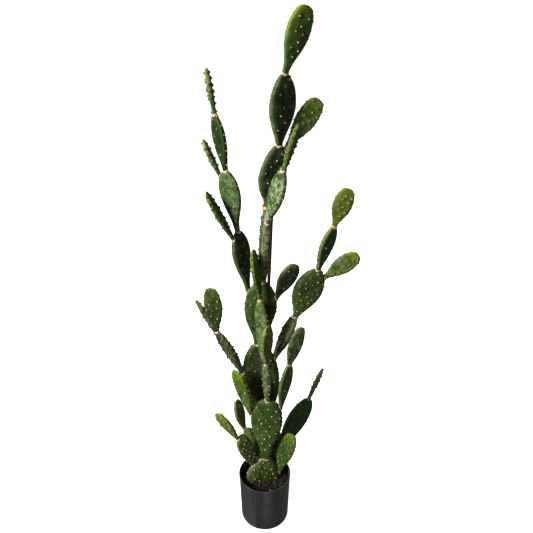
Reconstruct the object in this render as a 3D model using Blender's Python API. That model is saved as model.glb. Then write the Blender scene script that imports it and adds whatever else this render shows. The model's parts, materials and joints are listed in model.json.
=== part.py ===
"""Potted paddle cactus: a plastic nursery pot of soil, with a tied cane and a branching stand of flat pads.

The origin is the centre of the pot's foot on the floor, +Z up, with the plant's front towards -Y.
"""

import math
from dataclasses import dataclass

import bmesh
import bpy
from mathutils import Matrix, Vector

MM = 0.001

# Gap kept between two pieces that touch.
CLEARANCE = 0.3 * MM

# Pot, a thin moulded tub with a shallow band round its rim.
POT_HEIGHT = 184 * MM
POT_RIM_RADIUS = 84 * MM
POT_FOOT_RADIUS = 78 * MM
POT_WALL = 2 * MM
POT_FLOOR = 2.5 * MM
POT_RIM_BAND = 8 * MM
POT_RIM_STEP = 1.2 * MM
POT_FOOT_ROUND = 8 * MM
DRAIN_HOLES = 6
DRAIN_HOLE_RADIUS = 5 * MM
DRAIN_RING_RADIUS = 55 * MM
POT_SIDES = 40

# Soil, filled to a little below the rim, and heaped slightly round the stems.
SOIL_BELOW_RIM = 31 * MM
SOIL_HEAP = 4 * MM
ROOTING_DEPTH = 48 * MM

# Support cane and the tape that holds the crown to it.
CANE_RADIUS = 5 * MM
CANE_NODE_RADIUS = 6 * MM
CANE_NODE_SPACING = 150 * MM
CANE_FOOT = (-12 * MM, 67 * MM)
CANE_LEAN = 1.9
CANE_ABOVE_SOIL = 960 * MM
CANE_DEPTH = 110 * MM
TIE_TAPE = 1.6 * MM
TIE_HEIGHT = 8 * MM
TIE_ALONG = 0.2
TIE_SLACK = 1 * MM

# Section of a pad: its squareness, and how much of the thickness its neck keeps. A pad with another
# on its tip has sloping shoulders; a free tip is blunter.
SECTION_POWER = 2.3
SHOULDER_POWER = 0.5
TIP_POWER = 0.36
THICKNESS_POWER = 0.22
NECK_THICKNESS_SHARE = 0.62
ROOT_IN_PARENT = 7 * MM
ROOT_TAPER = 0.45
PAD_SIDES = 12
PAD_RINGS = 11

OLD = "old"
MATURE = "mature"
YOUNG = "young"
PAD_COLOURS = {
    OLD: (0.075, 0.105, 0.050),
    MATURE: (0.045, 0.110, 0.028),
    YOUNG: (0.120, 0.200, 0.030),
}


@dataclass(frozen=True)
class Pad:
    """One flat stem segment: sizes in millimetres, angles in degrees.

    seat is where its neck sits on its parent's rim, as a share of the parent's length: plus for the
    parent's right side, minus for its left, and 1 at its tip. foot is used instead by a rooted pad.
    lean tips the pad towards +X, pitch towards +Y, and turn spins it about its own length, where 0
    has its face to the front. widest is the share of the length where it is widest, and taper how
    slowly it widens from its neck. shoulder is how slowly it narrows again, where it differs from the rest.
    """

    name: str
    parent: str
    seat: float
    length: float
    width: float
    thickness: float
    lean: float
    pitch: float
    turn: float
    neck: float
    taper: float = 0.8
    widest: float = 0.6
    age: str = MATURE
    foot: tuple = (0.0, 0.0)
    shoulder: float = 0.0


PADS = [
    # Trunk, from the soil to the top of the crown.
    Pad("trunk_pad_1", "", 0, 271, 104, 28, -1.7, 0, 8, 44, 0.7, age=OLD, foot=(8, 48)),
    Pad("trunk_pad_2", "trunk_pad_1", 1.0, 303, 112, 26, -4, -4, 10, 44, 0.6, 0.56, OLD),
    Pad("trunk_pad_3", "trunk_pad_2", 1.0, 211, 92, 25, 4, -2, -8, 22, 0.8, 0.62),
    Pad("trunk_pad_4", "trunk_pad_3", 1.0, 211, 58, 26, 3, -2, -80, 18, 0.7, age=OLD),
    Pad("trunk_pad_5", "trunk_pad_4", -0.81, 210, 74, 20, 10, -1, 25, 14, 5.5, 0.56),
    Pad("trunk_pad_6", "trunk_pad_5", 1.0, 173, 72, 20, 4, -3, 30, 16, 0.9, 0.58),
    Pad("trunk_pad_7", "trunk_pad_6", 1.0, 154, 60, 17, 17, -4, 20, 15, 0.8, 0.66, YOUNG),
    # Crown side shoots.
    Pad("crown_side_pad_1", "trunk_pad_4", 0.91, 150, 60, 16, 15, -8, -56, 15, 0.9),
    Pad("crown_side_pad_2", "crown_side_pad_1", 1.0, 121, 50, 14, 16, -6, 70, 13, 0.9, age=YOUNG),
    Pad("crown_back_pad", "trunk_pad_5", 0.93, 150, 55, 14, 35, 10, 10, 13, 0.9, 0.68, YOUNG),
    # Left arm.
    Pad("left_arm_pad_1", "trunk_pad_3", -0.83, 184, 62, 18, -8, 0, 45, 14, 0.9, 0.66),
    Pad("left_arm_pad_2", "left_arm_pad_1", 1.0, 168, 67, 16, -9, 0, -35, 14, 0.9, 0.66),
    Pad("left_arm_pad_3", "left_arm_pad_2", 1.0, 143, 46, 14, -9, 0, -45, 13, 0.9),
    Pad("left_arm_pad_4", "left_arm_pad_3", 1.0, 107, 45, 12, -8, 0, -86, 12, age=YOUNG),
    Pad("left_arm_bud_1", "left_arm_pad_1", -0.92, 148, 45, 13, -26, -4, 85, 12, age=YOUNG),
    Pad("left_arm_bud_2", "left_arm_pad_2", -0.91, 101, 38, 12, -23, 0, -85, 11, age=YOUNG),
    # Right arm.
    Pad("right_arm_pad_1", "trunk_pad_2", 0.79, 156, 48, 20, 22, 0, -76, 14, age=OLD),
    Pad("right_arm_pad_2", "right_arm_pad_1", 1.0, 164, 86, 20, 21, 0, 15, 15, 0.8, 0.58),
    Pad("right_arm_pad_3", "right_arm_pad_2", 1.0, 134, 56, 16, 16, 0, 48, 14),
    Pad("right_arm_pad_4", "right_arm_pad_3", 1.0, 111, 53, 14, 17, 0, 10, 13, 0.8, 0.62, YOUNG),
    Pad("right_arm_side_pad", "right_arm_pad_2", 0.87, 115, 51, 14, 52, 0, -10, 13, 0.8, 0.62, YOUNG),
    Pad("shoulder_pad", "trunk_pad_3", 0.78, 117, 54, 14, 26, 0, 20, 14, 0.8, 0.64, YOUNG),
    # Low left arm.
    Pad("low_left_pad_1", "trunk_pad_2", -0.67, 169, 60, 18, -24, -4, 125, 14, age=OLD),
    Pad("low_left_pad_2", "low_left_pad_1", 1.0, 147, 52, 14, -5, -2, -10, 13, 0.8, 0.62, YOUNG),
    Pad("low_left_pad_3", "low_left_pad_1", 0.86, 126, 40, 12, -26, 4, -58, 12, age=YOUNG),
    # Front stem and its branches.
    Pad("front_pad_1", "", 0, 139, 104, 30, 6.5, 0, 6, 50, 0.8, 0.42, foot=(-13, 4), shoulder=0.5),
    Pad("front_pad_2", "front_pad_1", 1.0, 257, 98, 25, 1, -4, 0, 30, 0.75, 0.7, shoulder=0.4),
    Pad("front_pad_3", "front_pad_2", 1.0, 145, 45, 17, -1, -5, 105, 19, 0.7),
    Pad("front_side_pad", "front_pad_3", 1.0, 154, 44, 14, 1, -13, 55, 15, age=YOUNG),
    Pad("front_pad_4", "front_pad_3", 0.75, 242, 41, 15, -3, -2, -35, 14, 0.9),
    Pad("front_pad_5", "front_pad_4", 1.0, 153, 45, 13, -7, -2, 70, 13, 0.9, age=YOUNG),
    Pad("front_left_pad", "front_pad_2", -0.77, 180, 52, 16, -14, -4, -35, 16, 0.65, age=YOUNG),
    Pad("front_right_pad_1", "front_pad_2", 0.88, 169, 50, 15, 8, -2, 50, 14),
    Pad("front_right_pad_2", "front_right_pad_1", 1.0, 134, 43, 13, 13, -2, 25, 13, 0.6, 0.56),
    # Low branches, near the soil.
    Pad("back_right_pad_1", "trunk_pad_1", 0.5, 198, 84, 22, 26.5, 10, 25, 24, 0.6),
    Pad("back_right_pad_2", "back_right_pad_1", 1.0, 124, 40, 14, 18, 0, 62, 13),
    Pad("base_left_pad_1", "front_pad_1", -0.81, 152, 49, 20, -16, -9, 30, 16, 0.7, 0.56),
    Pad("base_left_pad_2", "base_left_pad_1", -0.97, 121, 45, 13, -29, -2, -36, 12, age=YOUNG),
    Pad("back_left_pad_1", "front_pad_1", -0.96, 115, 47, 14, -24, 19, -20, 13, 0.9, 0.62),
    Pad("back_left_pad_2", "back_left_pad_1", -0.98, 113, 46, 14, -12.5, 4, 60, 12),
    Pad("base_right_pad", "front_pad_1", 0.57, 175, 54, 16, 12.5, -3, -15, 15, 0.8, 0.62, YOUNG),
]
PAD_BY_NAME = {pad.name: pad for pad in PADS}
TIP_BEARERS = {pad.parent for pad in PADS if pad.seat == 1.0}


def clear_scene():
    for obj in list(bpy.data.objects):
        bpy.data.objects.remove(obj, do_unlink=True)


def make_material(name, colour, roughness):
    material = bpy.data.materials.new(name)
    material.use_nodes = True
    shader = material.node_tree.nodes["Principled BSDF"]
    shader.inputs["Base Color"].default_value = (*colour, 1.0)
    shader.inputs["Roughness"].default_value = roughness
    shader.inputs["Metallic"].default_value = 0.0
    material.diffuse_color = (*colour, 1.0)
    return material


def make_object(name, bm, matrix, colour=None, roughness=0.6):
    """Turns a bmesh into a smooth-shaded object placed by a world matrix; a cutter gets no colour."""
    bmesh.ops.recalc_face_normals(bm, faces=bm.faces)
    bmesh.ops.triangulate(bm, faces=bm.faces)
    mesh = bpy.data.meshes.new(name)
    bm.to_mesh(mesh)
    bm.free()
    mesh.shade_smooth()
    mesh.set_sharp_from_angle(angle=math.radians(40))
    obj = bpy.data.objects.new(name, mesh)
    bpy.context.scene.collection.objects.link(obj)
    obj.location = matrix.to_translation()
    obj.rotation_euler = matrix.to_euler()
    if colour is None:
        obj.hide_render = True
        obj.display_type = "WIRE"
    else:
        mesh.materials.append(make_material(name, colour, roughness))
    return obj


def subtract(obj, cutter):
    cut = obj.modifiers.new("clear_of_" + cutter.name, "BOOLEAN")
    cut.operation = "DIFFERENCE"
    cut.solver = "EXACT"
    cut.object = cutter


def grow(bm, distance):
    """Moves every vertex out along its normal, so that the faces move out by the distance."""
    bmesh.ops.recalc_face_normals(bm, faces=bm.faces)
    bmesh.ops.triangulate(bm, faces=bm.faces)
    bm.normal_update()
    steps = [vert.normal * distance * vert.calc_shell_factor() for vert in bm.verts]
    for vert, step in zip(bm.verts, steps):
        vert.co += step


# Pads


def bulge(pad, along):
    """Rises from 0 at the neck to 1 at the widest place, and falls back to 0 at the tip."""
    share = min(max(along, 0.0), 1.0)
    return max(math.sin(math.pi * share ** (math.log(0.5) / math.log(pad.widest))), 0.0)


def half_width(pad, along):
    top = pad.shoulder or (SHOULDER_POWER if pad.name in TIP_BEARERS else TIP_POWER)
    power = pad.taper + (top - pad.taper) * min(max(along, 0.0) / pad.widest, 1.0)
    blade = pad.width / 2 * bulge(pad, along) ** power
    return math.hypot(blade, pad.neck / 2 * (1 - max(along, 0.0))) * MM


def half_thickness(pad, along):
    neck = NECK_THICKNESS_SHARE * pad.thickness / 2
    blade = pad.thickness / 2 * bulge(pad, along) ** THICKNESS_POWER
    return math.hypot(blade, neck * (1 - max(along, 0.0))) * MM


def signed_power(value, power):
    return math.copysign(abs(value) ** power, value)


def pad_bmesh(pad):
    """A sphere drawn out into the pad, with its neck at the origin and its tip along +Z."""
    bm = bmesh.new()
    bmesh.ops.create_uvsphere(bm, u_segments=PAD_SIDES, v_segments=PAD_RINGS, radius=1.0)
    length = pad.length * MM
    root = ROOT_IN_PARENT / length
    for vert in bm.verts:
        x, y, z = vert.co
        around = math.atan2(y, x)
        on_axis = math.hypot(x, y) < 1e-6
        along = -root + (1 + root) * (1 + z) / 2
        reach = 0.0 if on_axis else 1.0 - ROOT_TAPER * max(-along, 0.0) / root
        vert.co = (
            reach * half_width(pad, along) * signed_power(math.cos(around), 2 / SECTION_POWER),
            reach * half_thickness(pad, along) * signed_power(math.sin(around), 2 / SECTION_POWER),
            along * length,
        )
    return bm


def seat_point(pad, seat):
    """The point on a pad's rim, in its own frame, where a daughter's neck sits."""
    along = abs(seat)
    return Vector((math.copysign(half_width(pad, along), seat), 0.0, along * pad.length * MM))


def soil_top():
    return POT_HEIGHT - SOIL_BELOW_RIM


def pad_matrix(pad):
    """A pad's place in the world: on its parent's rim, or rooted in the soil."""
    if pad.parent:
        parent = PAD_BY_NAME[pad.parent]
        place = pad_matrix(parent) @ seat_point(parent, pad.seat)
    else:
        place = Vector((pad.foot[0] * MM, pad.foot[1] * MM, soil_top() - ROOTING_DEPTH))
    lean = Matrix.Rotation(math.radians(pad.lean), 4, "Y")
    pitch = Matrix.Rotation(math.radians(-pad.pitch), 4, "X")
    turn = Matrix.Rotation(math.radians(pad.turn), 4, "Z")
    return Matrix.Translation(place) @ lean @ pitch @ turn


def may_press(pad, elder):
    """Whether two pads are close enough to touch, taking each as a rod as thick as it is wide."""
    reach = (pad.width + elder.width) / 2 * MM
    ends = []
    for each in (pad, elder):
        matrix = pad_matrix(each)
        ends.append(matrix @ Vector((0.0, 0.0, 0.0)))
        ends.append(matrix @ Vector((0.0, 0.0, each.length * MM)))
    steps = [step / 8 for step in range(9)]
    return any(
        (ends[0].lerp(ends[1], here) - ends[2].lerp(ends[3], there)).length < reach
        for here in steps
        for there in steps
    )


def make_pads(cane_cutter):
    """Makes every pad, with its neck cut to the saddle shape of the rim that it grows from.

    A pad that presses on an older one, or on the cane, is flattened against it in the same way.
    """
    cutters = {}
    for pad in PADS:
        bm = pad_bmesh(pad)
        grow(bm, CLEARANCE)
        cutters[pad.name] = make_object(pad.name + "_clearance", bm, pad_matrix(pad))
    for index, pad in enumerate(PADS):
        obj = make_object(pad.name, pad_bmesh(pad), pad_matrix(pad), PAD_COLOURS[pad.age])
        for elder in PADS[:index]:
            if elder.name == pad.parent or may_press(pad, elder):
                subtract(obj, cutters[elder.name])
        subtract(obj, cane_cutter)
    return cutters


# Pot and soil


def turned_bmesh(profile, sides):
    """Spins a list of (radius, height) points, which starts and ends on the axis, about Z."""
    bm = bmesh.new()
    verts = [bm.verts.new((radius, 0.0, height)) for radius, height in profile]
    edges = [bm.edges.new(pair) for pair in zip(verts, verts[1:])]
    bmesh.ops.spin(
        bm,
        geom=verts + edges,
        cent=(0, 0, 0),
        axis=(0, 0, 1),
        angle=2 * math.pi,
        steps=sides,
        use_merge=True,
    )
    bmesh.ops.remove_doubles(bm, verts=bm.verts, dist=1e-6)
    return bm


def cylinder_bmesh(radius, bottom, top, sides, centre=(0.0, 0.0)):
    bm = bmesh.new()
    middle = Matrix.Translation((*centre, (bottom + top) / 2))
    bmesh.ops.create_cone(
        bm,
        cap_ends=True,
        segments=sides,
        radius1=radius,
        radius2=radius,
        depth=top - bottom,
        matrix=middle,
    )
    return bm


def pot_outer_radius(height):
    """The tub's outside below its rim band, a straight taper above the rounded foot."""
    upright = POT_HEIGHT - POT_FOOT_ROUND
    under_rim = POT_RIM_RADIUS - POT_RIM_STEP
    return POT_FOOT_RADIUS + (under_rim - POT_FOOT_RADIUS) * (height - POT_FOOT_ROUND) / upright


def foot_round(radius, drop):
    """Points round the foot's corner, from the wall to the flat underside; drop is the wall inside it."""
    steps = 4
    points = []
    for step in range(steps + 1):
        angle = math.pi / 2 * step / steps
        out = radius - POT_FOOT_ROUND + (POT_FOOT_ROUND - drop) * math.cos(angle)
        points.append((out, POT_FOOT_ROUND - (POT_FOOT_ROUND - drop) * math.sin(angle)))
    return points


def make_pot():
    band_bottom = POT_HEIGHT - POT_RIM_BAND
    outside = [
        (POT_RIM_RADIUS, POT_HEIGHT - CLEARANCE),
        (POT_RIM_RADIUS, band_bottom),
        (pot_outer_radius(band_bottom), band_bottom),
    ]
    inside_rim = pot_outer_radius(POT_HEIGHT) - POT_WALL
    inside = [(inside_rim, POT_HEIGHT)] + foot_round(POT_FOOT_RADIUS, POT_FLOOR)
    lip = (POT_RIM_RADIUS - POT_RIM_STEP / 2, POT_HEIGHT)
    profile = [(0.0, POT_FLOOR)] + inside[::-1] + [lip] + outside + foot_round(POT_FOOT_RADIUS, 0.0)
    bm = turned_bmesh(profile + [(0.0, 0.0)], POT_SIDES)
    pot = make_object("pot", bm, Matrix.Identity(4), (0.045, 0.045, 0.042), 0.45)
    for index in range(DRAIN_HOLES):
        angle = 2 * math.pi * index / DRAIN_HOLES
        centre = (DRAIN_RING_RADIUS * math.cos(angle), DRAIN_RING_RADIUS * math.sin(angle))
        hole = cylinder_bmesh(DRAIN_HOLE_RADIUS, -POT_FLOOR, 2 * POT_FLOOR, 12, centre)
        subtract(pot, make_object(f"drain_hole_{index + 1}", hole, Matrix.Identity(4)))


def make_soil(cutters):
    top = soil_top()
    gap = POT_WALL + CLEARANCE
    corner = [(radius, height) for radius, height in foot_round(POT_FOOT_RADIUS, POT_FLOOR + CLEARANCE)]
    heap = [(share * pot_outer_radius(top), top + SOIL_HEAP * (1 - share**2)) for share in (0.0, 0.3, 0.6)]
    profile = heap + [(pot_outer_radius(top) - gap, top)] + corner + [(0.0, POT_FLOOR + CLEARANCE)]
    bm = turned_bmesh(profile, POT_SIDES)
    soil = make_object("soil", bm, Matrix.Identity(4), (0.022, 0.016, 0.011), 0.95)
    for cutter in cutters:
        subtract(soil, cutter)


# Cane and tie


def cane_matrix():
    return Matrix.Translation((*CANE_FOOT, soil_top())) @ Matrix.Rotation(math.radians(CANE_LEAN), 4, "Y")


def cane_bmesh(growth):
    """A bamboo cane along +Z from below the soil, with a swollen node at regular spacing."""
    profile = [(0.0, -CANE_DEPTH - growth), (CANE_RADIUS + growth, -CANE_DEPTH - growth)]
    nodes = int(CANE_ABOVE_SOIL / CANE_NODE_SPACING)
    for index in range(1, nodes + 1):
        height = index * CANE_NODE_SPACING
        profile.append((CANE_RADIUS + growth, height - CANE_RADIUS))
        profile.append((CANE_NODE_RADIUS + growth, height))
        profile.append((CANE_RADIUS + growth, height + CANE_RADIUS))
    top = CANE_ABOVE_SOIL + growth
    profile += [(CANE_RADIUS + growth, top), (0.0, top)]
    return turned_bmesh(profile, 10)


def make_cane():
    make_object("support_cane", cane_bmesh(0.0), cane_matrix(), (0.12, 0.065, 0.025), 0.65)
    return make_object("support_cane_clearance", cane_bmesh(CLEARANCE), cane_matrix())


def belt(near, near_radius, far, far_radius, steps):
    """The closed outline of a band drawn tight round two circles, as a list of flat points."""
    across = far - near
    tilt = math.acos((near_radius - far_radius) / across.length)
    heading = math.atan2(across.y, across.x)
    points = []
    for step in range(steps + 1):
        angle = heading - tilt + 2 * tilt * step / steps
        points.append(far + far_radius * Vector((math.cos(angle), math.sin(angle))))
    for step in range(steps + 1):
        angle = heading + tilt + (2 * math.pi - 2 * tilt) * step / steps
        points.append(near + near_radius * Vector((math.cos(angle), math.sin(angle))))
    return points


def make_tie():
    """The loop of tape round the crown's lowest pad and the cane behind it, square to the cane."""
    pad = PAD_BY_NAME["trunk_pad_5"]
    centre = pad_matrix(pad) @ Vector((0.0, 0.0, TIE_ALONG * pad.length * MM))
    frame = cane_matrix()
    in_frame = frame.inverted() @ centre
    widest_held = TIE_ALONG + TIE_HEIGHT / (pad.length * MM)
    pad_radius = max(half_width(pad, widest_held), half_thickness(pad, widest_held)) + TIE_SLACK
    cane_radius = CANE_RADIUS + TIE_SLACK
    near = in_frame.to_2d()
    cane = Vector((0.0, 0.0))
    bm = bmesh.new()
    loops = []
    for thickness in (0.0, TIE_TAPE):
        outline = belt(near, pad_radius + thickness, cane, cane_radius + thickness, 10)
        bottom = in_frame.z - TIE_HEIGHT / 2
        loops.append([bm.verts.new((*point, bottom)) for point in outline])
    count = len(loops[0])
    faces = []
    for index in range(count):
        after = (index + 1) % count
        faces.append(bm.faces.new((loops[0][index], loops[0][after], loops[1][after], loops[1][index])))
    raised = bmesh.ops.extrude_face_region(bm, geom=faces)
    moved = [item for item in raised["geom"] if isinstance(item, bmesh.types.BMVert)]
    bmesh.ops.translate(bm, vec=(0, 0, TIE_HEIGHT), verts=moved)
    make_object("cane_tie", bm, frame, (0.75, 0.42, 0.05), 0.5)


def main():
    clear_scene()
    cane_cutter = make_cane()
    cutters = make_pads(cane_cutter)
    make_tie()
    make_pot()
    make_soil([cutters["front_pad_1"], cutters["trunk_pad_1"], cane_cutter])


main()
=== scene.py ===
"""Looks of the potted paddle cactus: waxy pads, felt cushions, corky joints, pot, soil, cane and tie."""

import json
import logging
import math
from dataclasses import dataclass, field
from enum import Enum
from random import Random

import bmesh
import bpy
import numpy as np
from mathutils import Matrix, Vector, noise
from mathutils.bvhtree import BVHTree
from mathutils.kdtree import KDTree

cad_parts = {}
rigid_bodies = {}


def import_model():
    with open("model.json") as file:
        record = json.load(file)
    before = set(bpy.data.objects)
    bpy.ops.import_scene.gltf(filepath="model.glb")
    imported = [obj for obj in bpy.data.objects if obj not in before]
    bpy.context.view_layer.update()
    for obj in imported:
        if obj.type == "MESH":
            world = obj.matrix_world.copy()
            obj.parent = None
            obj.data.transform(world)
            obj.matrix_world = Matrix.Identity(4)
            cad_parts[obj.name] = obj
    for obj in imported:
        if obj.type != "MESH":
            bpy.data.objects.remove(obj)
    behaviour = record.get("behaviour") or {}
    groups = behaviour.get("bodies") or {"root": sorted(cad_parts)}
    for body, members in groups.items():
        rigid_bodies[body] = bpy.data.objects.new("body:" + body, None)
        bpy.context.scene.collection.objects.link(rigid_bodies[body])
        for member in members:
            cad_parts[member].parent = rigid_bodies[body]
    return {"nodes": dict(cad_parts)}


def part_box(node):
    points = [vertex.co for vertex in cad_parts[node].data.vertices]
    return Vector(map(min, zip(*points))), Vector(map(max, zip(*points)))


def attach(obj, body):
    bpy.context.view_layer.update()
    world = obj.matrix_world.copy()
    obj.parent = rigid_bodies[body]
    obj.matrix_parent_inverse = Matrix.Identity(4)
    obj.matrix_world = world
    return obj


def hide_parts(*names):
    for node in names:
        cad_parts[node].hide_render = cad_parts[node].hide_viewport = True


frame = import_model()

MM = 0.001
MERGE = 0.001 * MM
ORIGIN = (0.0, 0.0, 0.0)
UP = (0.0, 0.0, 1.0)
ANY_TURN = 6.3
LOG = logging.getLogger("cactus")

Colour = tuple[float, float, float]


class Age(Enum):
    """How long ago a pad grew."""

    OLD = "old_pad"
    MATURE = "mature_pad"
    YOUNG = "young_pad"


# Node graphs


class Value:
    """A shader output that takes part in ordinary arithmetic."""

    def __init__(self, graph: "Graph", socket: bpy.types.NodeSocket) -> None:
        """Keeps the graph that new Math nodes go into, and the socket itself."""
        self.graph = graph
        self.socket = socket

    def _maths(self, operation: str, *terms: "Value | float") -> "Value":
        """Adds one Math node.

        Args:
            operation: The node's operation.
            terms: Its inputs, in order.

        Returns:
            The node's result.
        """
        return self.graph.node("ShaderNodeMath", {"operation": operation}, dict(enumerate(terms)))

    def __add__(self, other: "Value | float") -> "Value":
        """Adds."""
        return self._maths("ADD", self, other)

    def __radd__(self, other: float) -> "Value":
        """Adds, with the number first."""
        return self._maths("ADD", other, self)

    def __sub__(self, other: "Value | float") -> "Value":
        """Subtracts."""
        return self._maths("SUBTRACT", self, other)

    def __rsub__(self, other: float) -> "Value":
        """Subtracts from a number."""
        return self._maths("SUBTRACT", other, self)

    def __mul__(self, other: "Value | float") -> "Value":
        """Multiplies."""
        return self._maths("MULTIPLY", self, other)

    def __rmul__(self, other: float) -> "Value":
        """Multiplies, with the number first."""
        return self._maths("MULTIPLY", other, self)

    def either(self, other: "Value | float") -> "Value":
        """Returns the larger of the two."""
        return self._maths("MAXIMUM", self, other)

    def step(self, low: float, high: float, bottom: float = 0.0, top: float = 1.0) -> "Value":
        """Eases from one level to another as this value passes between two limits.

        Args:
            low: The value below which the result is bottom.
            high: The value above which the result is top.
            bottom: The result at the low end.
            top: The result at the high end.

        Returns:
            The eased value.
        """
        inputs = {"Value": self, "From Min": low, "From Max": high, "To Min": bottom, "To Max": top}
        return self.graph.node("ShaderNodeMapRange", {"interpolation_type": "SMOOTHSTEP"}, inputs)


class Graph:
    """The node tree of one material, with its Principled shader."""

    def __init__(self, name: str) -> None:
        """Starts a material.

        Args:
            name: The material's name.
        """
        self.material = bpy.data.materials.new(name)
        self.material.use_nodes = True
        self.tree = self.material.node_tree
        self.shader = self.tree.nodes["Principled BSDF"]
        self.place = self.node("ShaderNodeTexCoord", output="Object")

    def node(
        self, kind: str, settings: dict | None = None, inputs: dict | None = None, output: str | int = 0
    ) -> Value:
        """Adds any node.

        Args:
            kind: The node's type.
            settings: Properties set before the inputs.
            inputs: Socket name or number to a number, colour, vector or Value.
            output: The output to return.

        Returns:
            The chosen output.
        """
        made = self.tree.nodes.new(kind)
        for key, value in (settings or {}).items():
            setattr(made, key, value)
        for key, value in (inputs or {}).items():
            self.feed(made.inputs[key], value)
        return Value(self, made.outputs[output])

    def feed(self, socket: bpy.types.NodeSocket, value: object) -> None:
        """Links a Value to a socket, or sets the socket's constant.

        Args:
            socket: The input socket.
            value: A Value, a number, a vector or a colour without its alpha.
        """
        if isinstance(value, Value):
            self.tree.links.new(value.socket, socket)
        elif isinstance(value, tuple) and len(value) == 3 and socket.type == "RGBA":
            socket.default_value = (*value, 1.0)
        else:
            socket.default_value = value

    def attribute(self, name: str) -> Value:
        """Reads a number stored on the mesh."""
        return self.node("ShaderNodeAttribute", {"attribute_name": name}, output="Fac")

    def stretched(self, scale: tuple[float, float, float]) -> Value:
        """Object coordinates scaled by a different amount along each axis."""
        return self.node("ShaderNodeMapping", None, {"Vector": self.place, "Scale": scale})

    def cloud(
        self, scale: float, detail: float = 3.0, rough: float = 0.5, at: Value | None = None
    ) -> Value:
        """Soft noise at a scale in features per metre."""
        inputs = {"Vector": at or self.place, "Scale": scale, "Detail": detail, "Roughness": rough}
        return self.node("ShaderNodeTexNoise", {"noise_dimensions": "3D"}, inputs)

    def cells(self, scale: float) -> Value:
        """Distance to the nearest of scattered points, at a scale in points per metre."""
        inputs = {"Vector": self.place, "Scale": scale}
        return self.node("ShaderNodeTexVoronoi", None, inputs, "Distance")

    def blend(self, first: object, second: object, amount: object) -> Value:
        """Mixes two colours."""
        inputs = {0: amount, 6: first, 7: second}
        return self.node("ShaderNodeMix", {"data_type": "RGBA"}, inputs, 2)

    def bump(self, height: Value, distance: float, strength: float = 1.0) -> Value:
        """Turns a height into a bent normal; distance is the height of 1, in metres."""
        inputs = {"Height": height, "Distance": distance, "Strength": strength}
        return self.node("ShaderNodeBump", None, inputs, "Normal")

    def finish(
        self, colour: object, roughness: object, normal: Value | None = None, **constants: float
    ) -> bpy.types.Material:
        """Connects the Principled shader.

        Args:
            colour: Base colour, constant or varying.
            roughness: Roughness, constant or varying.
            normal: A bent normal, if there is one.
            constants: Other sockets, with underscores for spaces.

        Returns:
            The finished material.
        """
        self.feed(self.shader.inputs["Base Color"], colour)
        self.feed(self.shader.inputs["Roughness"], roughness)
        if normal is not None:
            self.feed(self.shader.inputs["Normal"], normal)
        for key, value in constants.items():
            self.shader.inputs[key.replace("_", " ")].default_value = value
        return self.material


# Finishes


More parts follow.
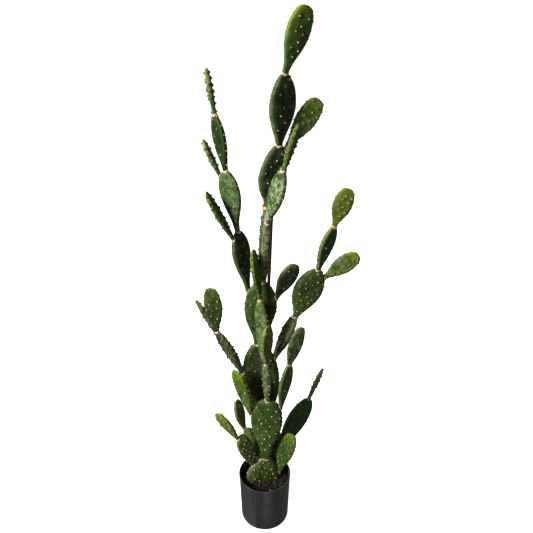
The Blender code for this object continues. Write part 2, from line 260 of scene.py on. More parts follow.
@dataclass(frozen=True)
class PadSkin:
    """Waxy cactus skin, tinted by each pad's own age, bloom and scars, with painted shade and painted
    light set for each pad.
    """

    night: Colour = (0.007, 0.011, 0.003)
    deep: Colour = (0.020, 0.044, 0.005)
    green: Colour = (0.038, 0.102, 0.007)
    fresh: Colour = (0.056, 0.142, 0.004)
    tip: Colour = (0.210, 0.280, 0.002)
    leaf: Colour = (0.180, 0.240, 0.012)
    olive: Colour = (0.080, 0.082, 0.016)
    wax: Colour = (0.370, 0.430, 0.300)
    cork: Colour = (0.245, 0.225, 0.135)

    def build(self) -> bpy.types.Material:
        """Makes the skin material.

        Returns:
            The material.
        """
        graph = Graph("pad_skin")
        along = graph.attribute("along")
        rim = graph.attribute("rim")
        youth = graph.attribute("youth")
        bloom = graph.attribute("bloom")
        scars = graph.attribute("scars")
        halo = graph.attribute("halo")
        painted_shade = graph.attribute("painted_shade")
        leaf_tint_and_painted_light = graph.attribute("leaf_tint_and_painted_light")
        broad = graph.cloud(16.0, 2.0)
        patch = graph.cloud(55.0, 4.0, 0.6)
        mottle = graph.cloud(170.0, 3.0, 0.6)
        grain = graph.cloud(420.0, 3.0, 0.65)
        dots = graph.cells(520.0)
        colour = graph.blend(self.deep, self.green, broad.step(0.35, 0.68))
        colour = graph.blend(colour, self.fresh, youth * broad.step(0.30, 0.75, 0.25, 0.90))
        # Painted shade: darkens the skin towards near-black, less on the rims, so that the faces look
        # shaded and the rims look lit.
        shade = painted_shade * (1.0 - rim * 0.8) * patch.step(0.25, 0.70, 1.0, 0.55)
        colour = graph.blend(colour, self.night, shade)
        colour = graph.blend(colour, self.olive, scars * patch.step(0.44, 0.62, 0.0, 0.55))
        # Leafy green, partly the pad's own colour and partly painted light on pads that lie in shade.
        colour = graph.blend(colour, self.leaf, leaf_tint_and_painted_light * broad.step(0.30, 0.65, 0.35, 0.75))
        edge = youth * (along.step(0.74, 1.0) * 0.85 + rim * along.step(0.35, 0.85) * 0.75)
        colour = graph.blend(colour, self.tip, edge * broad.step(0.30, 0.62, 0.45, 0.95))
        waxy = bloom * patch.step(0.44, 0.60) * grain.step(0.38, 0.60, 0.25, 1.0)
        colour = graph.blend(colour, self.wax, waxy)
        streaks = graph.cloud(34.0, 5.0, 0.7, graph.stretched((2.2, 2.2, 0.8)))
        low = 0.35 + 0.65 * (1.0 - along.step(0.15, 0.95))
        corky_rim = scars * rim.step(0.55, 0.95) * streaks.step(0.40, 0.56)
        corky = (scars * streaks.step(0.50, 0.60) * low).either(corky_rim)
        colour = graph.blend(colour, self.cork, corky * grain.step(0.25, 0.6, 0.6, 1.0))
        specks = dots.step(0.05, 0.28, 0.28, 0.0) * (1.0 - corky) * (1.0 - painted_shade)
        colour = graph.blend(colour, self.fresh, specks)
        colour = graph.blend(colour, self.night, halo.step(0.35, 1.0) * 0.25)
        colour = graph.blend(colour, self.night, mottle.step(0.30, 0.48, 0.42, 0.0))
        colour = graph.blend(colour, self.leaf, mottle.step(0.54, 0.68, 0.0, 0.22) * (1.0 - painted_shade * 0.8))
        roughness = 0.42 + 0.22 * patch + 0.38 * corky
        height = grain * 0.35 + patch * 0.45 + corky * streaks * 1.2 + waxy * 0.5
        normal = graph.bump(height, 1.1 * MM, 0.8)
        return graph.finish(colour, roughness, normal, Specular_IOR_Level=0.18)


@dataclass(frozen=True)
class JointCork:
    """Dry corky skin of the ring where one pad grows from another, pale with brown patches that are
    painted shade.
    """

    pale: Colour = (0.780, 0.500, 0.350)
    brown: Colour = (0.300, 0.160, 0.090)

    def build(self) -> bpy.types.Material:
        """Makes the cork material.

        Returns:
            The material.
        """
        graph = Graph("joint_cork")
        patch = graph.cloud(170.0, 4.0, 0.65)
        # Painted shade: the brown is a shaded copy of the pale cork, mixed in by noise.
        colour = graph.blend(self.brown, self.pale, patch.step(0.34, 0.58))
        return graph.finish(colour, 0.9, graph.bump(patch, 1.2 * MM), Specular_IOR_Level=0.25)


@dataclass(frozen=True)
class FeltCushion:
    """Short dense wool of an areole, greyer and browner where it is weathered, and darker on pads that lie
    in shade as painted shade.
    """

    pale: Colour = (0.640, 0.450, 0.280)
    tan: Colour = (0.360, 0.220, 0.125)
    worn_and_shaded: Colour = (0.085, 0.052, 0.034)

    def build(self) -> bpy.types.Material:
        """Makes the felt material.

        Returns:
            The material.
        """
        graph = Graph("areole_felt")
        patch = graph.cloud(700.0, 2.0)
        colour = graph.blend(self.tan, self.pale, patch.step(0.30, 0.55))
        # Low tone darkens the felt: partly weathering, partly painted shade on shaded pads.
        colour = graph.blend(self.worn_and_shaded, colour, graph.attribute("tone").step(0.0, 0.8))
        return graph.finish(colour, 0.95, graph.bump(patch, 0.5 * MM), Specular_IOR_Level=0.1)


@dataclass(frozen=True)
class PotPlastic:
    """Black recycled plastic, dusty, with faint upright flow streaks."""

    black: Colour = (0.013, 0.0135, 0.013)
    dusty: Colour = (0.078, 0.076, 0.070)

    def build(self) -> bpy.types.Material:
        """Makes the pot material.

        Returns:
            The material.
        """
        graph = Graph("pot_plastic")
        streaks = graph.cloud(19.0, 4.0, 0.6, graph.stretched((1.0, 1.0, 0.12)))
        dust = graph.cloud(60.0, 5.0, 0.7)
        grain = graph.cloud(900.0, 2.0)
        film = streaks.step(0.36, 0.64, 0.0, 0.9) * dust.step(0.25, 0.7, 0.5, 1.0)
        colour = graph.blend(self.black, self.dusty, film)
        roughness = 0.36 + 0.2 * dust + 0.08 * streaks
        normal = graph.bump(grain + streaks * 2.0, 0.12 * MM)
        return graph.finish(colour, roughness, normal, Specular_IOR_Level=0.5)


@dataclass(frozen=True)
class Crumb:
    """Rough loose matter, such as potting mix, bark or perlite, between two colours."""

    name: str
    dark: Colour
    light: Colour
    scale: float = 160.0
    depth: float = 1.5 * MM

    def build(self) -> bpy.types.Material:
        """Makes the material.

        Returns:
            The material.
        """
        graph = Graph(self.name)
        lumps = graph.cloud(self.scale, 6.0, 0.7)
        colour = graph.blend(self.dark, self.light, lumps.step(0.38, 0.68))
        return graph.finish(colour, 0.95, graph.bump(lumps, self.depth), Specular_IOR_Level=0.2)


@dataclass(frozen=True)
class CaneSkin:
    """Dry brown cane with long paler fibres."""

    brown: Colour = (0.045, 0.024, 0.007)
    straw: Colour = (0.120, 0.072, 0.022)

    def build(self) -> bpy.types.Material:
        """Makes the cane material.

        Returns:
            The material.
        """
        graph = Graph("cane_skin")
        fibres = graph.cloud(260.0, 4.0, 0.6, graph.stretched((1.0, 1.0, 0.05)))
        stain = graph.cloud(30.0, 3.0)
        pale = fibres.step(0.38, 0.66) * stain.step(0.3, 0.7, 0.35, 1.0)
        colour = graph.blend(self.brown, self.straw, pale)
        return graph.finish(colour, 0.55 + 0.2 * stain, graph.bump(fibres, 0.4 * MM))


@dataclass(frozen=True)
class TieTape:
    """Stretchy garden tape, yellow, with noisy patches of a darker orange that is painted shade."""

    yellow: Colour = (0.860, 0.560, 0.060)
    shaded_orange: Colour = (0.560, 0.210, 0.015)

    def build(self) -> bpy.types.Material:
        """Makes the tape material.

        Returns:
            The material.
        """
        graph = Graph("tie_tape")
        stain = graph.cloud(70.0, 3.0)
        ribs = graph.cloud(900.0, 1.0, 0.4, graph.stretched((0.2, 0.2, 1.0)))
        # Painted shade: the orange patches are a shaded copy of the tape's yellow, spread by noise.
        colour = graph.blend(self.shaded_orange, self.yellow, stain.step(0.40, 0.60))
        return graph.finish(colour, 0.45, graph.bump(ribs, 0.3 * MM))


# Mesh helpers


def make_piece(
    name: str, bm: bmesh.types.BMesh, material: bpy.types.Material
) -> bpy.types.Object:
    """Turns a bmesh into a smooth-shaded piece that rides on the plant.

    Args:
        name: The piece's name.
        bm: Its shape, in world coordinates; it is freed.
        material: Its finish.

    Returns:
        The new object.
    """
    mesh = bpy.data.meshes.new(name)
    bm.to_mesh(mesh)
    bm.free()
    mesh.shade_smooth()
    mesh.materials.append(material)
    piece = bpy.data.objects.new(name, mesh)
    bpy.context.scene.collection.objects.link(piece)
    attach(piece, "root")
    return piece


def full_turn(bm: bmesh.types.BMesh, geometry: list, steps: int) -> None:
    """Spins geometry once round Z and joins its ends.

    Args:
        bm: The bmesh that holds it.
        geometry: Its vertices and edges.
        steps: The number of sides.
    """
    bmesh.ops.spin(
        bm, geom=geometry, cent=ORIGIN, axis=UP, angle=2 * math.pi, steps=steps, use_merge=True
    )


def spun(profile: list[tuple[float, float]], steps: int) -> bmesh.types.BMesh:
    """Spins a profile of (radius, height) points about Z.

    Args:
        profile: The points, starting and ending on the axis.
        steps: The number of sides.

    Returns:
        The closed turned shape.
    """
    bm = bmesh.new()
    verts = [bm.verts.new((radius, 0.0, height)) for radius, height in profile]
    edges = [bm.edges.new(pair) for pair in zip(verts, verts[1:])]
    full_turn(bm, verts + edges, steps)
    bmesh.ops.remove_doubles(bm, verts=bm.verts, dist=MERGE)
    bmesh.ops.recalc_face_normals(bm, faces=bm.faces)
    return bm


def arc(
    centre: tuple[float, float], radius: float, start: float, end: float, steps: int
) -> list[tuple[float, float]]:
    """Places points on a round corner.

    Args:
        centre: The corner's centre, as (radius, height).
        radius: Its radius.
        start: The first point's angle, in degrees.
        end: The last point's angle, in degrees.
        steps: The number of steps between them.

    Returns:
        The points, as (radius, height).
    """
    points = []
    for step in range(steps + 1):
        angle = math.radians(start + (end - start) * step / steps)
        points.append((centre[0] + radius * math.cos(angle), centre[1] + radius * math.sin(angle)))
    return points


def signed_power(value: float, power: float) -> float:
    """Raises a number's size to a power and keeps its sign."""
    return math.copysign(abs(value) ** power, value)


# Pads


@dataclass
class PadForm:
    """The smooth form of one pad, read from its solid: a frame and sections along its length.

    In its own frame the neck is at the origin, +Z runs to the tip, and the broad faces look along Y.
    """

    name: str
    parent: str
    neck_reach: float = 9 * MM
    tip_share: float = 0.962
    tip_power: float = 0.42
    sections: int = 48
    oblique: tuple[float, float, float] = (0.31, 0.87, 0.38)
    matrix: Matrix = field(default_factory=Matrix)
    length: float = 0.0
    table: np.ndarray = field(default_factory=lambda: np.zeros((0, 4)))

    def read(self) -> None:
        """Finds the pad's frame, and the middle and half-size of each of its sections."""
        verts, tris = node_triangles(self.name)
        triangles = verts[tris]
        areas = np.linalg.norm(
            np.cross(triangles[:, 1] - triangles[:, 0], triangles[:, 2] - triangles[:, 0]), axis=1
        )
        centres = triangles.mean(axis=1)
        middle = (centres * areas[:, None]).sum(axis=0) / areas.sum()
        spread = (centres - middle).T @ ((centres - middle) * areas[:, None])
        along = self.towards_tip(verts, np.linalg.eigh(spread)[1][:, 2])
        for _ in range(3):
            low, high = (self.section_middle(verts, tris, along, share) for share in (0.3, 0.85))
            along = (high - low) / np.linalg.norm(high - low)
        thin = self.thinnest(verts, tris, along)
        across = np.cross(thin, along)
        if across[0] < 0:
            across, thin = -across, -thin
        axes = np.column_stack([across, thin, along])
        heights = (verts - low) @ along
        self.length = float(np.ptp(heights))
        origin = low + along * heights.min()
        self.matrix = Matrix(axes.tolist()).to_4x4()
        self.matrix.translation = Vector(origin.tolist())
        self.measure((verts - origin) @ axes, tris)

    def towards_tip(self, verts: np.ndarray, along: np.ndarray) -> np.ndarray:
        """Turns an axis so that it points away from the parent, or from the soil.

        Args:
            verts: The solid's vertices.
            along: The axis, either way round.

        Returns:
            The axis towards the tip.
        """
        if self.parent == "soil":
            return along * math.copysign(1.0, along[2])
        parent = node_triangles(self.parent)[0]
        heights = verts @ along
        ends = [verts[heights.argmin()], verts[heights.argmax()]]
        reach = [np.linalg.norm(parent - end, axis=1).min() for end in ends]
        return along if reach[0] < reach[1] else -along

    def section_middle(
        self, verts: np.ndarray, tris: np.ndarray, along: np.ndarray, share: float
    ) -> np.ndarray:
        """Finds the middle of one section.

        Args:
            verts: The solid's vertices.
            tris: Its triangles.
            along: The axis towards the tip.
            share: The section's place, as a share of the length.

        Returns:
            The middle, in world coordinates.
        """
        heights = verts @ along
        points = section(verts, tris, along, heights.min() + share * np.ptp(heights))
        side = np.cross(along, self.oblique)
        sides = [side / np.linalg.norm(side)]
        sides.append(np.cross(along, sides[0]))
        place = along * (points[0] @ along)
        for direction in sides:
            reach = points @ direction
            place = place + direction * (reach.min() + reach.max()) / 2
        return place

    def thinnest(self, verts: np.ndarray, tris: np.ndarray, along: np.ndarray) -> np.ndarray:
        """Finds the direction across the pad in which its sections are thinnest.

        Args:
            verts: The solid's vertices.
            tris: Its triangles.
            along: The axis towards the tip.

        Returns:
            The direction.
        """
        heights = verts @ along
        low, length = heights.min(), np.ptp(heights)
        shares = (0.45, 0.55, 0.65, 0.75)
        cuts = [section(verts, tris, along, low + share * length) for share in shares]
        side = np.cross(along, self.oblique)
        side = side / np.linalg.norm(side)
        other = np.cross(along, side)
        best, best_width = side, math.inf
        for degrees in range(180):
            angle = math.radians(degrees)
            direction = side * math.cos(angle) + other * math.sin(angle)
            width = sum(np.ptp(points @ direction) for points in cuts)
            if width < best_width:
                best, best_width = direction, width
        return best

    def measure(self, local: np.ndarray, tris: np.ndarray) -> None:
        """Slices the solid and keeps each slice's middle and half-size across and through the pad.

        Args:
            local: The solid's vertices, in the pad's own frame.
            tris: Its triangles.
        """
        rows = []
        floor = self.neck_reach / self.length
        up = np.array(UP)
        for share in np.linspace(0.0, 1.0, self.sections):
            points = section(local, tris, up, min(max(share, floor), self.tip_share) * self.length)
            low, high = points.min(axis=0), points.max(axis=0)
            rows.append([*((low + high) / 2)[:2], *((high - low) / 2)[:2]])
        self.table = np.array(rows)
        kernel = np.array([0.25, 0.5, 0.25])
        for _ in range(2):
            for column in range(4):
                self.table[1:-1, column] = np.convolve(self.table[:, column], kernel, "valid")

    def at(self, share: float) -> tuple[float, float, float, float]:
        """Reads the smoothed sections, and rounds off the tip past the last one.

        Args:
            share: The place, as a share of the length.

        Returns:
            Middle x, middle y, half-width and half-depth.
        """
        spot = min(share, self.tip_share) * (self.sections - 1)
        index = np.arange(self.sections)
        values = [float(np.interp(spot, index, self.table[:, column])) for column in range(4)]
        if share > self.tip_share:
            past = max(1.0 - share, 0.0) / (1.0 - self.tip_share)
            values[2] *= past**self.tip_power
            values[3] *= past**self.tip_power
        return tuple(values)


def section(verts: np.ndarray, tris: np.ndarray, axis: np.ndarray, height: float) -> np.ndarray:
    """Cuts a mesh with a plane square to an axis.

    Args:
        verts: The mesh's vertices.
        tris: Its triangles.
        axis: The plane's normal.
        height: The plane's distance along the axis.

    Returns:
        The points where the mesh's edges cross the plane.
    """
    edges = np.vstack([tris[:, [0, 1]], tris[:, [1, 2]], tris[:, [2, 0]]])
    heights = verts @ axis - height
    low, high = heights[edges[:, 0]], heights[edges[:, 1]]
    crosses = low * high < 0
    part = (low[crosses] / (low[crosses] - high[crosses]))[:, None]
    start, end = verts[edges[crosses, 0]], verts[edges[crosses, 1]]
    return start + (end - start) * part


_triangles: dict[str, tuple[np.ndarray, np.ndarray]] = {}


def node_triangles(name: str) -> tuple[np.ndarray, np.ndarray]:
    """Reads a solid once and remembers it.

    Args:
        name: The solid's node.

    Returns:
        Its vertices, in world coordinates, and its triangles.
    """
    if name not in _triangles:
        mesh = frame["nodes"][name].data
        mesh.calc_loop_triangles()
        verts = np.zeros(len(mesh.vertices) * 3)
        mesh.vertices.foreach_get("co", verts)
        tris = np.zeros(len(mesh.loop_triangles) * 3, dtype=np.int32)
        mesh.loop_triangles.foreach_get("vertices", tris)
        _triangles[name] = (verts.reshape(-1, 3), tris.reshape(-1, 3))
    return _triangles[name]


@dataclass
class CactusPad:
    """One pad with its skin, its areoles and the corky ring at its neck.

    The tints run from 0 to 1. Bloom is pale wax, scars is cork and olive stains, youth is a bright tip and
    rim, painted_shade is painted shade that darkens the faces and leaves the rims lit,
    leaf_tint_and_painted_light is a leafy green that is partly the pad's own colour and partly painted
    light on pads that lie in shade, and tone is how pale the felt is, kept low on some shaded pads as
    painted shade.
    """

    name: str
    parent: str
    age: Age
    spacing: float = 25 * MM
    bloom: float = 0.08
    scars: float = 0.2
    youth: float = 0.0
    # Painted shade: how far the skin is darkened to stand in for shade.
    painted_shade: float = 0.0
    # Leafy green tint: partly the pad's own colour, partly painted light on shaded pads.
    leaf_tint_and_painted_light: float = 0.0
    # How pale the felt is; low values also stand for painted shade on shaded pads.
    tone: float = 0.7
    bend: float = 0.0
    knobs: float = 2.3 * MM
    rim_knobs: float = 0.8 * MM
    rim_spacing: float = 19 * MM
    felt_radius: float = 2.4 * MM
    around: int = 88
    rings: int = 72
    squareness: float = 4.2
    ripple: float = 0.03
    swell: float = 0.05
    rim_start: float = 0.6
    knob_radius: float = 4.6 * MM
    rim_knob_radius: float = 3.5 * MM
    ring_swell: float = 2.1 * MM
    ring_height: float = 3.5 * MM
    ring_lift: float = 1.4 * MM
    form: PadForm = field(init=False)
    bvh: BVHTree = field(init=False, default=None)

    def __post_init__(self) -> None:
        """Reads the pad's form from its solid."""
        self.form = PadForm(self.name, self.parent)
        self.form.read()
        self.random = Random(self.name)

    def bow(self, share: float) -> float:
        """How far the pad's middle bows out of its plane at a share of its length."""
        return self.bend * math.sin(math.pi * min(max(share, 0.0), 1.0))

    def body(self) -> bmesh.types.BMesh:
        """Draws a sphere out into the pad.

        Returns:
            The pad's smooth shape, in its own frame.
        """
        bm = bmesh.new()
        bmesh.ops.create_uvsphere(bm, u_segments=self.around, v_segments=self.rings, radius=1.0)
        along = bm.verts.layers.float.new("along")
        rim = bm.verts.layers.float.new("rim")
        phase = self.random.uniform(0, 10)
        for vert in bm.verts:
            x, y, z = vert.co
            angle = math.atan2(y, x)
            share = (1 + z) / 2
            mid_x, mid_y, width, depth = self.form.at(share)
            side = 2.0 if x > 0 else 5.0
            wave = noise.noise(Vector((phase, share * 6.0, side)))
            ripple = 1 + self.ripple * wave * min(share * 4, 1)
            reach = min(math.hypot(x, y) * 1e6, 1.0)
            across = signed_power(math.cos(angle), 2 / self.squareness)
            through = signed_power(math.sin(angle), 2 / self.squareness)
            swell = 1 + self.swell * noise.noise(Vector((across * 2.5, share * 5.0, phase + through)))
            vert[along] = share
            vert[rim] = max(abs(across) - self.rim_start, 0.0) / (1 - self.rim_start)
            vert.co = (
                mid_x + reach * width * ripple * across,
                mid_y + reach * depth * swell * through + self.bow(share),
                share * self.form.length,
            )
        return bm

    def areole_spots(self) -> list[tuple[float, float, int]]:
        """Lays the areoles out in loose slanting rows on both faces, and in a row down each rim.

        Returns:
            Their places as (x, share of length, side); side is 1 or -1 for a face and 0 for a rim.
        """
        spots: list[tuple[float, float, int]] = []
        length = self.form.length
        rise = self.spacing * 0.86
        loose = self.spacing * 0.17
        margin = self.spacing * 0.28
        slant = 0.25
        lowest, highest = 0.08 * length, 0.955 * length
        for side in (-1, 1):
            start = self.random.uniform(0.3, 0.8)
            for row in range(int(length / rise) + 1):
                height = (row + start) * rise
                if not lowest < height < highest:
                    continue
                mid, _, width, _ = self.form.at(height / length)
                count = int(width / self.spacing) + 2
                for column in range(-count, count + 1):
                    x = (column + 0.5 * (row % 2)) * self.spacing + self.random.uniform(-loose, loose)
                    up = height + slant * x * side + self.random.uniform(-loose, loose)
                    share = min(max(up / length, 0.06), 0.96)
                    if abs(x) < self.form.at(share)[2] - margin:
                        spots.append((mid + x, share, side))
        for edge in (-1, 1):
            height = self.random.uniform(0.9, 1.4) * self.rim_spacing
            while height < length * 0.985:
                mid, _, width, _ = self.form.at(height / length)
                spots.append((mid + edge * width, height / length, 0))
                closer = 1.0 if height < 0.85 * length else 0.7
                height += self.rim_spacing * self.random.uniform(0.75, 1.25) * closer
        return spots

    def set_on(self, tree: BVHTree, spot: tuple[float, float, int]) -> tuple[Vector, Vector]:
        """Puts a spot on the surface.

        Args:
            tree: The body's surface.
            spot: One of the areole spots.

        Returns:
            The point and the outward normal.
        """
        x, share, side = spot
        height = share * self.form.length
        middle = self.form.at(share)[1] + self.bow(share)
        if side:
            hit = tree.ray_cast(Vector((x, middle + side * 0.1, height)), Vector((0, -side, 0)))
            if hit[0]:
                return hit[0], hit[1]
        hit = tree.find_nearest(Vector((x * 1.05, middle, height)))
        return hit[0], hit[1]

    def raise_knobs(self, bm: bmesh.types.BMesh, points: list[Vector], rims: list[bool]) -> None:
        """Lifts the skin round each areole, and marks it so that it can be darker.

        Args:
            bm: The pad's shape.
            points: The areoles' places on it.
            rims: Whether each areole is on a rim.
        """
        halo = bm.verts.layers.float.new("halo")
        tree = KDTree(len(points))
        for index, point in enumerate(points):
            tree.insert(point, index)
        tree.balance()
        bm.normal_update()
        lifts = []
        for vert in bm.verts:
            _, index, distance = tree.find(vert.co)
            radius = self.rim_knob_radius if rims[index] else self.knob_radius
            bell = math.exp(-((distance / radius) ** 2))
            vert[halo] = bell
            lifts.append(vert.normal * bell * (self.rim_knobs if rims[index] else self.knobs))
        for vert, lift in zip(bm.verts, lifts):
            vert.co += lift

    def mark(self, bm: bmesh.types.BMesh) -> None:
        """Stores what tints the pad on its mesh.

        Args:
            bm: The pad's shape.
        """
        for key in ("youth", "bloom", "scars", "painted_shade", "leaf_tint_and_painted_light"):
            layer = bm.verts.layers.float.new(key)
            for vert in bm.verts:
                vert[layer] = getattr(self, key)

    def build(self, finishes: "Finishes", pads: dict[str, "CactusPad"]) -> None:
        """Makes the pad's pieces.

        Args:
            finishes: The plant's materials.
            pads: The pads made so far, by name.
        """
        bm = self.body()
        smooth = BVHTree.FromBMesh(bm)
        spots = self.areole_spots()
        points = [self.set_on(smooth, spot)[0] for spot in spots]
        self.raise_knobs(bm, points, [spot[2] == 0 for spot in spots])
        self.mark(bm)
        bumpy = BVHTree.FromBMesh(bm)
        self.make_areoles([self.set_on(bumpy, spot) for spot in spots], finishes.felt)
        bm.transform(self.form.matrix)
        bmesh.ops.recalc_face_normals(bm, faces=bm.faces)
        self.bvh = BVHTree.FromBMesh(bm)
        piece = make_piece(self.name + "_skin", bm, finishes.skin)
        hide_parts(self.name)
        if self.parent in pads:
            self.make_ring(pads[self.parent].bvh, finishes.cork)

    def cushion(self) -> bpy.types.Mesh:
        """Makes one flattened felt cushion with a few short bristles that lean outwards.

        Returns:
            The cushion, on the origin and facing up.
        """
        bm = bmesh.new()
        flat = Matrix.Diagonal((1.0, 1.0, 0.62, 1.0))
        bmesh.ops.create_uvsphere(bm, u_segments=8, v_segments=5, radius=self.felt_radius, matrix=flat)
        bristle = 1.9 * self.felt_radius
        root, point = 0.16 * MM, 0.03 * MM
        for turn in range(4):
            lean = Matrix.Rotation(math.radians(24 + 7 * turn), 4, "Y")
            around = Matrix.Rotation(2.4 * turn + 0.4, 4, "Z")
            aim = around @ lean @ Matrix.Translation((0, 0, bristle / 2))
            bmesh.ops.create_cone(
                bm, cap_ends=False, segments=3, radius1=root, radius2=point, depth=bristle, matrix=aim
            )
        mesh = bpy.data.meshes.new("areole")
        bm.to_mesh(mesh)
        bm.free()
        return mesh

    def make_areoles(self, places: list[tuple[Vector, Vector]], felt: bpy.types.Material) -> None:
        """Makes all the felt cushions of the pad.

        Args:
            places: Each areole's point on the skin and the normal there.
            felt: Their finish.
        """
        template = self.cushion()
        bm = bmesh.new()
        tone = bm.verts.layers.float.new("tone")
        for point, normal in places:
            first = len(bm.verts)
            bm.from_mesh(template)
            bm.verts.ensure_lookup_table()
            pale = min(max(self.tone + self.random.uniform(-0.45, 0.25), 0.0), 1.0)
            for vert in bm.verts[first:]:
                vert[tone] = pale
            size = self.random.uniform(0.75, 1.15)
            spin = Matrix.Rotation(self.random.uniform(0, ANY_TURN), 4, "Z")
            aim = Vector(UP).rotation_difference(normal).to_matrix().to_4x4()
            sit = Matrix.Translation(point) @ aim @ spin @ Matrix.Scale(size, 4)
            bmesh.ops.transform(bm, matrix=self.form.matrix @ sit, verts=bm.verts[first:])
        bpy.data.meshes.remove(template)
        make_piece(self.name + "_areoles", bm, felt)

    def make_ring(self, ground: BVHTree, cork: bpy.types.Material) -> None:
        """Makes the corky ring that follows the parent's rim round the neck.

        Args:
            ground: The parent's surface, in world coordinates.
            cork: The ring's finish.
        """
        mid_x, mid_y, neck_width, neck_depth = self.form.at(0.03)
        centre_line = 10.0
        above_neck, reach = 16 * MM, 30 * MM
        bm = bmesh.new()
        bmesh.ops.create_circle(bm, cap_ends=False, segments=10, radius=1.0)
        upright = Matrix.Rotation(math.pi / 2, 3, "X")
        bmesh.ops.rotate(bm, verts=bm.verts, cent=ORIGIN, matrix=upright)
        bmesh.ops.translate(bm, verts=bm.verts, vec=(centre_line, 0, 0))
        full_turn(bm, bm.verts[:] + bm.edges[:], 36)
        down = -(self.form.matrix.to_3x3() @ Vector(UP))
        inverse = self.form.matrix.inverted()
        feet: dict[int, float] = {}
        for vert in bm.verts:
            angle = math.atan2(vert.co.y, vert.co.x)
            out = math.hypot(vert.co.x, vert.co.y) - centre_line
            key = round(math.degrees(angle))
            if key not in feet:
                x, y = mid_x + neck_width * math.cos(angle), mid_y + neck_depth * math.sin(angle)
                hit = ground.ray_cast(self.form.matrix @ Vector((x, y, above_neck)), down, reach)
                feet[key] = (inverse @ hit[0]).z if hit[0] else 0.0
            foot = max(feet[key], -1 * MM) + self.ring_lift
            rough = 1 + 0.25 * noise.noise(Vector((angle * 2.0, vert.co.z, self.form.length * 50)))
            swell = self.ring_swell * out * rough
            vert.co = (
                mid_x + (neck_width + swell) * math.cos(angle),
                mid_y + (neck_depth + swell) * math.sin(angle),
                foot + self.ring_height * vert.co.z * rough,
            )
        bmesh.ops.transform(bm, matrix=self.form.matrix, verts=bm.verts)
        bmesh.ops.recalc_face_normals(bm, faces=bm.faces)
        make_piece(self.name + "_ring", bm, cork)


@dataclass
class Finishes:
    """All the plant's materials, each made once."""

    skin: bpy.types.Material = field(default_factory=lambda: PadSkin().build())
    cork: bpy.types.Material = field(default_factory=lambda: JointCork().build())
    felt: bpy.types.Material = field(default_factory=lambda: FeltCushion().build())


